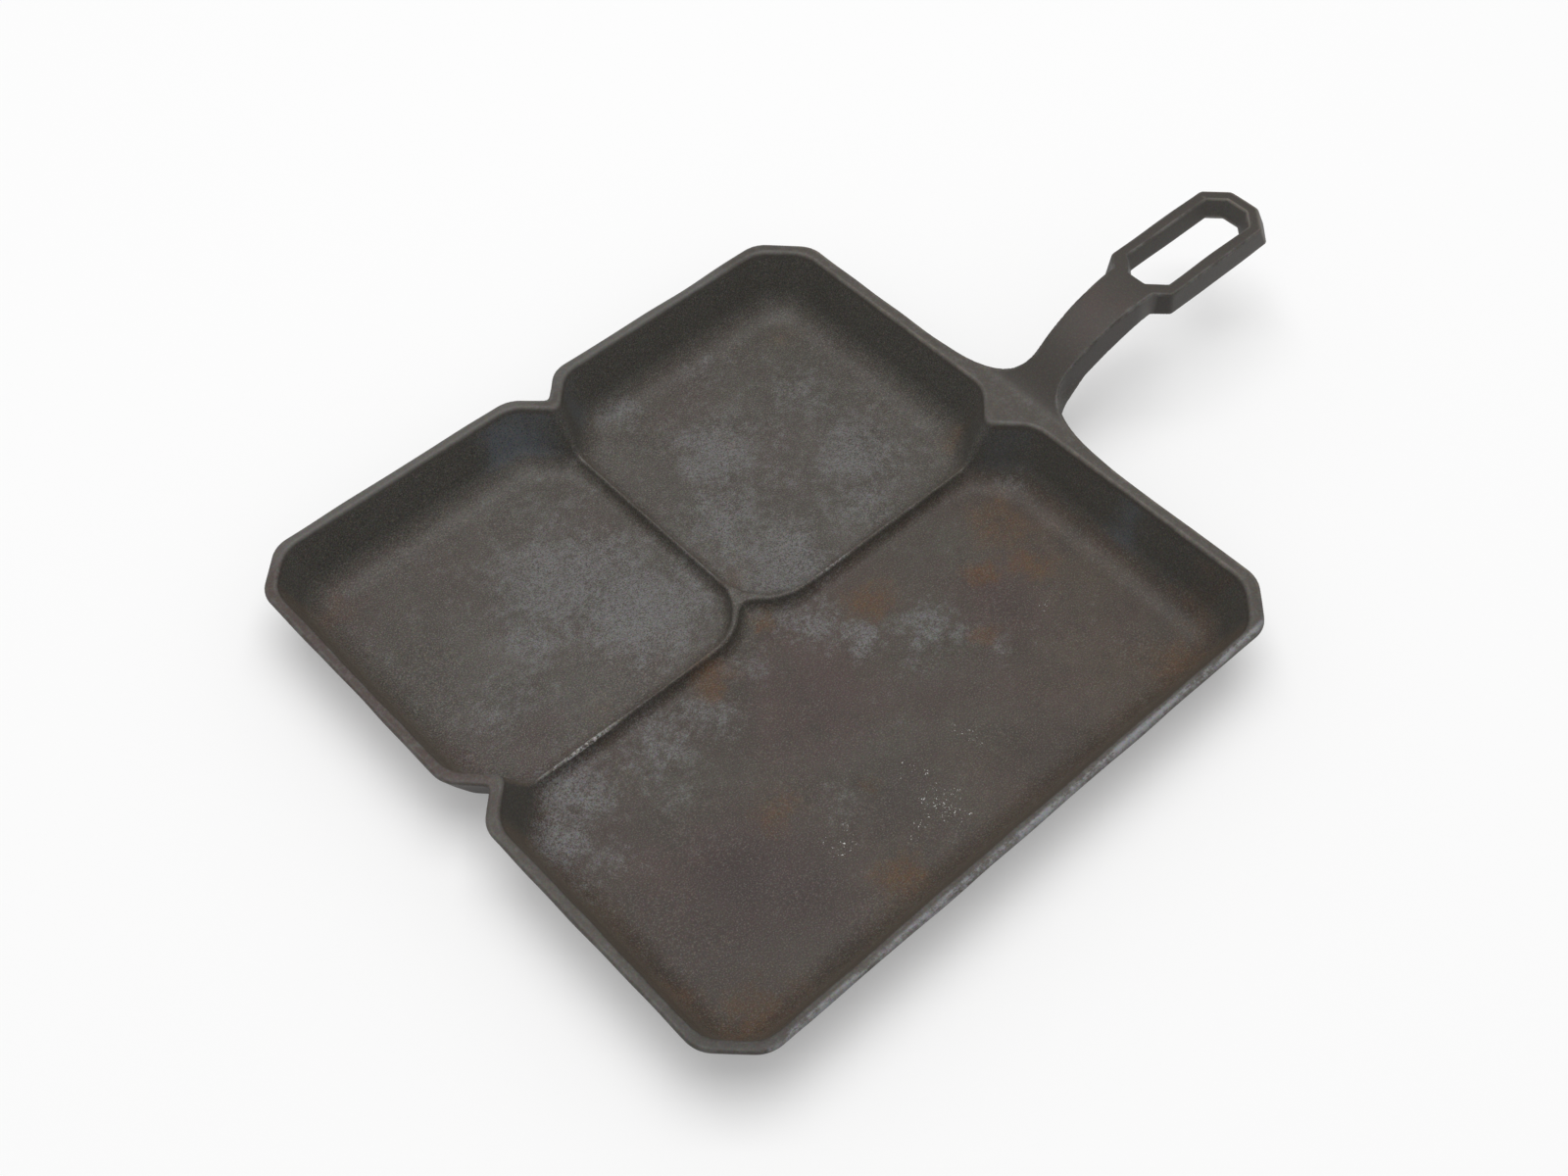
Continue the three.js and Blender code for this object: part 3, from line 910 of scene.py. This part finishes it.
# %% Rust
rust_patches = [
    (0, 1, 10, 1.0), (-27, -7, 12, 1.0), (34, -17, 15, 1.0), (69, -35, 12, 1.0), (84, -42, 14, 0.8),
    (91, -24, 24, 0.7), (50, -53, 10, 0.8), (-46, -54, 17, 0.6), (-31, -97, 13, 0.9), (-17, -69, 8, 0.7),
    (-94, -102, 26, 0.7), (-108, -82, 22, 0.6), (89, -102, 22, 0.7), (-99, 98, 16, 0.45), (6, 21, 9, 0.6),
    (104, 14, 14, 0.7), (96, 93, 16, 0.4), (46, 68, 6, 0.6), (-62, 10, 14, 0.4), (-13, 68, 12, 0.3),
    (108, -95, 20, 0.6), (-20, -30, 12, 0.3),
]
rust = (0.115, 0.057, 0.023, 1)

rust_place = patches(rust_patches) * in_tray
rust_share = (rust_place + 1.4 * (lace - 0.5) + 1.6 * (mottle - 0.5)).ramp(0.1, 1.2)
rust_share = rust_share * rust_place.ramp(0, 0.4) * (0.5 + 0.5 * fleck.ramp(0.35, 0.65))
colour = (0.8 * rust_share).blend(colour, rust)
print("rust:", len(rust_patches), "patches")

# %% [markdown]
# ## Burnt oil
# In some places the oil is burnt almost black with a red cast, and the rim at the near corner is sooty.
# Burning covers whatever lay there before, so it comes after the stains, the bare iron and the rust.

# %% Burnt oil
burnt_patches = [
    (-68, -64, 30, 1.2), (-56, -80, 24, 0.9), (-12, -78, 18, 0.5), (68, -48, 14, 0.5), (30, -92, 20, 0.5),
    (95, 80, 26, 0.15), (-80, -78, 40, 0.8), (-96, -62, 26, 0.5), (-10, -34, 24, 0.45), (-90, 62, 36, 0.2),
    (45, 100, 30, 0.15),
]
burnt_oil = (0.026, 0.014, 0.012, 1)
soot = (0.020, 0.018, 0.016, 1)

burnt_place = patches(burnt_patches) * in_tray
near_corner_rim = place_x.span(-70, -108) * place_y.span(-60, -108) * off_tray
colour = (0.7 * burnt_place).blend(colour, burnt_oil)
colour = (0.4 * near_corner_rim).blend(colour, soot)
print("burnt:", len(burnt_patches), "patches and the near corner")

# %% [markdown]
# ## The trays' walls
# Nothing scrapes the walls, so they keep an even oil, and its dark colour is partly painted shade. The ones
# that face +X or +Y, towards the lamp, are browner and partly painted lighter as lamp light, heat has blued
# the iron in a few places, and some rust has crept up from the floor.

# %% Tray walls
blued_patches = [(-17, 106, 19, 1.5), (12, 106, 10, 0.4), (108, -8, 12, 0.3), (112, -59, 10, 0.6)]
wall_oil_and_shade = (0.064, 0.061, 0.053, 1)
brown_oil_and_lamp_light = (0.092, 0.072, 0.053, 1)
blued_iron = (0.098, 0.111, 0.126, 1)

blued_place = patches(blued_patches) * tray_wall
# painted shade: the walls above the dividers' height are darkened in colour, partly oil and partly painted
# shade
dark_wall_and_shade_share = tray_wall * height.span(5, 11)
# painted light: walls facing +X or +Y, towards the lamp, get a lighter brown that is partly painted lamp
# light
brown_and_lamp_lit_wall = tray_wall * (endward + sideward).ramp(0.1, 0.5)
colour = (0.9 * dark_wall_and_shade_share).blend(colour, blued_place.blend(wall_oil_and_shade, blued_iron))
colour = (0.8 * brown_and_lamp_lit_wall).blend(colour, brown_oil_and_lamp_light)
colour = (0.4 * rust_share * tray_wall).blend(colour, rust)
print("walls: dark oil, brown oil,", len(blued_patches), "blued patches")

# %% [markdown]
# ## The outside
# The flame blackens the outside in clouds, with a breath of rust over them. The slot's walls are rubbed by
# the hook instead, so they are left out of the soot. Most of this is guessed, as old pans usually look.

# %% Outside and slot
slot_wall = place_x.span(168, 174) * place_x.span(238, 234) * abs(place_y).span(11, 10) * steep
pan_outside_skin = off_tray * (1 - smooth_skin) * upward.ramp(0.4, 0.1)
colour = (0.3 * off_tray * (steep - slot_wall)).blend(colour, soot)
colour = (0.4 * slot_wall).blend(colour, rubbed)
colour = (0.5 * pan_outside_skin * (0.5 * mottle + 0.5 * cloud).ramp(0.45, 0.6)).blend(colour, soot)
colour = (0.3 * pan_outside_skin * hue.ramp(0.5, 0.64) * lace.ramp(0.44, 0.6)).blend(colour, rust)
print("outside: sooty walls and base, rubbed slot")

# %% [markdown]
# ## The silver rim
# The rim along the large tray is rubbed down to bright iron in streaks, with a dark line left at both edges.
# The streaks are noise that is stretched along X.

# %% Silver rim
silver_iron = (0.235, 0.238, 0.250, 1)

lengthwise = shade.node("ShaderNodeVectorMath", {"operation": "MULTIPLY"}, {0: place, 1: (0.12, 1, 1)})
streak = noise(420, 5, 0.65, vector=lengthwise)
near_rim = place_y.span(-112.5, -116) * height.span(22, 25)
near_rub = near_rim * place_y.span(-119.8, -118.9) * place_y.span(-116.4, -117.6)
near_rub = near_rub * (0.4 * streak + 0.3 * lace + 0.3 * fleck).ramp(0.43, 0.55)
colour = (0.85 * near_rub).blend(colour, silver_iron)
print("silver: the rim along the large tray")

# %% [markdown]
# ## Rubbed edges and painted highlights
# The bend of the surface, kept on the mesh, finds the edges. They are paler at the handle's end of the rim
# and at the loop's far end, partly rubbed and partly a painted highlight where these edges face the lamp.
# Parts of the crests are worn bright by the spatula, and their white is partly a painted highlight too.

# %% Rubbed edges and crests, with painted highlights
bright_crest_wear_and_highlight = [(-76, 0, 20, 1.0), (34, 0, 14, 0.5), (-1, 97, 6, 1.0)]
pale_rub_and_highlight = (0.190, 0.165, 0.135, 1)
scratch_and_highlight_white = (0.62, 0.62, 0.60, 1)

edge = shade.node("ShaderNodeAttribute", {"attribute_name": "edge_rub"}, {}, "Fac")
# painted highlight: the pale edges at the handle's end of the rim and at the loop's far end face the lamp
# and are partly painted highlight
handle_end_rim_highlight = place_x.span(112, 118) * place_x.span(126, 122) * off_tray
loop_end_highlight = place_x.span(222, 238)
edge_share = edge.ramp(0.15, 0.9) * (0.15 + 0.6 * mottle.ramp(0.42, 0.65)) * height.span(12, 20)
colour = edge_share.blend(colour, handle_end_rim_highlight.blend(rubbed, pale_rub_and_highlight))
colour = (0.5 * loop_end_highlight * edge.ramp(0.1, 0.6)).blend(colour, pale_rub_and_highlight)
# partly painted highlight: the white flecks on the crests' tips are worn metal and partly a painted
# highlight on the rounded crests
crest_wear_and_highlight_place = patches(bright_crest_wear_and_highlight) * in_tray
crest_wear_and_highlight_share = 0.7 * crest_wear_and_highlight_place * edge.ramp(0.7, 1.0) * fleck.ramp(0.42, 0.58)
colour = crest_wear_and_highlight_share.blend(colour, scratch_and_highlight_white)
print("edges: all rounds that bend outwards, and", len(bright_crest_wear_and_highlight), "bright crests")

# %% [markdown]
# ## Sand grain
# Close up, cast iron is a field of grains: light tops and dark pits, strongest in the egg trays and where
# the oil is worn, and faint on the handle. A coloured noise in soft light keeps the grains from being alike.

# %% Sand grain
light_grain = (0.150, 0.138, 0.120, 1)
TINT_SHARE = 0.5

grain_place = 0.25 + 0.62 * in_tray + 0.45 * (in_tray - large_tray) + 0.3 * worn_share
grain_place = grain_place + 0.45 * pan_outside_skin
colour = (0.8 * grain_place * grain.ramp(0.48, 0.74)).blend(colour, light_grain)
colour = (0.9 * grain_place * grain.ramp(0.48, 0.24)).blend(colour, soot)
soft_light = {"data_type": "RGBA", "blend_type": "SOFT_LIGHT"}
colour = shade.node("ShaderNodeMix", soft_light, {0: TINT_SHARE, 6: colour, 7: tint}, 2)
print("grain: light tops, dark pits and a tint")

# %% [markdown]
# ## Specks and scratches
# A few pale specks lie in all the trays. On the large tray's floor there are small clusters of bright dots,
# where something hard has scratched through to clean metal. Both are the crests of fine noises, so they
# come out as dots of many sizes.

# %% Specks and scratches
scratch_patches = [
    (18, -76, 8, 0.8), (-4, -85, 9, 0.9), (-6, -93, 8, 0.9), (-3, -74, 7, 0.6), (-37, -76, 8, 0.8),
    (-15, -88, 6, 0.8), (-22, -92, 5, 0.7), (74, -57, 4, 1.0),
]
pale_speck = (0.34, 0.28, 0.21, 1)

colour = (0.6 * in_tray * fleck.ramp(0.70, 0.78)).blend(colour, pale_speck)
scratch_place = patches(scratch_patches) * tray_floor
scratch_share = (scratch_place + 2.2 * (lace - 0.5)).ramp(0.25, 0.6) * speckle.ramp(0.632, 0.68)
scratch_share = scratch_share * scratch_place.ramp(0.02, 0.2)
colour = scratch_share.blend(colour, scratch_and_highlight_white)
print("scratches:", len(scratch_patches), "clusters")

# %% [markdown]
# ## Gloss and relief
# Oiled iron has a dull sheen: bare iron is a little glossier, and rust is duller. The grain is also a relief
# too fine for the mesh, so a Bump node tilts the normals as grains of about a tenth of a millimetre would.

# %% Into the shader
BASE_ROUGHNESS = 0.52
RELIEF = 0.09 * MM

roughness = BASE_ROUGHNESS - 0.08 * worn_share + 0.25 * rust_share + 0.1 * (fleck - 0.5)
relief = (0.4 * fleck + 0.35 * mottle + 0.3 * grain) * grain_place
bump = shade.node("ShaderNodeBump", {}, {"Strength": 1.0, "Distance": RELIEF, "Height": relief})
colour.feed(iron_shader, "Base Color")
roughness.feed(iron_shader, "Roughness")
bump.feed(iron_shader, "Normal")
iron_shader.inputs["Specular IOR Level"].default_value = 0.35
print(f"{iron_material.name}: {len(iron_material.node_tree.nodes)} nodes")

# %% [markdown]
# ## Camera
# The pan is seen from above one corner. The camera's place and direction were worked out from the four sides
# of the rim, which are square to each other, so its lens and its distance are known too.

# %% Camera
camera_place = Vector((-0.243747, -0.268370, 0.504727))
camera_ahead = Vector((0.41363, 0.43802, -0.79815))
camera_right = Vector((0.73319, -0.67999, 0.00679))

camera = bpy.data.objects.new("camera", bpy.data.cameras.new("camera"))
bpy.context.scene.collection.objects.link(camera)
camera.data.lens = 43.05
camera.data.sensor_width = 36
camera_up = camera_right.cross(camera_ahead)
camera_axes = Matrix((camera_right, camera_up, -camera_ahead)).transposed().to_4x4()
camera.matrix_world = Matrix.Translation(camera_place) @ camera_axes
bpy.context.scene.camera = camera
print(f"camera {camera_place.length:.2f} m from the pan's middle")

# %% [markdown]
# ## Floor
# The pan stands on a white sweep of paper. A share of plain white is mixed in where the camera or a
# reflection sees it, which lifts the paper to white and keeps the pan's shadow on it. It lies a hair below
# the base, so that the two flat faces don't fight for the same place.

# %% Floor
SWEEP_GLOW = 0.25
FLOOR_GAP = 0.2 * MM
SWEEP_WHITE = (0.95, 0.95, 0.95, 1)

bpy.ops.mesh.primitive_plane_add(size=6)
sweep = bpy.context.object
sweep.name = "sweep"
sweep.location.z = -FLOOR_GAP
sweep_material, sweep_shade, sweep_shader = new_material("white_sweep")
sweep_shader.inputs["Base Color"].default_value = SWEEP_WHITE
sweep_shader.inputs["Roughness"].default_value = 0.9
paper = Shade(sweep_material.node_tree, sweep_shader.outputs["BSDF"])
camera_ray = sweep_shade.node("ShaderNodeLightPath", {}, {}, "Is Camera Ray")
seen = camera_ray + camera_ray.beside("Is Glossy Ray") + camera_ray.beside("Is Transmission Ray")
glow = sweep_shade.node("ShaderNodeEmission", {}, {"Color": (1, 1, 1, 1), "Strength": 1})
lifted_paper = sweep_shade.node("ShaderNodeMixShader", {}, {0: SWEEP_GLOW * seen, 1: paper, 2: glow})
lifted_paper.feed(sweep_material.node_tree.nodes["Material Output"], "Surface")
sweep.data.materials.append(sweep_material)
print(f"sweep {sweep.dimensions.x:.0f} m wide")

# %% [markdown]
# ## Light
# One large soft lamp hangs high behind the pan, with an even fill from all round. The lamp lights the floors
# of the trays and leaves the walls that face the camera in shade.

# %% Lamp and fill
softbox = bpy.data.objects.new("softbox", bpy.data.lights.new("softbox", "AREA"))
bpy.context.scene.collection.objects.link(softbox)
softbox.data.shape = "SQUARE"
softbox.data.size = 2.4
softbox.data.energy = 50
softbox.location = (0.25, 0.3, 2.6)
softbox.rotation_euler = (-softbox.location).to_track_quat("-Z", "Y").to_euler()

studio = bpy.data.worlds.new("studio")
studio.use_nodes = True
studio.node_tree.nodes["Background"].inputs["Color"].default_value = (1, 1, 1, 1)
studio.node_tree.nodes["Background"].inputs["Strength"].default_value = 0.45
bpy.context.scene.world = studio
bpy.context.scene.view_settings.view_transform = "Standard"
print(f"softbox {softbox.location.length:.2f} m away, {softbox.data.size:.1f} m wide")

# %% [markdown]
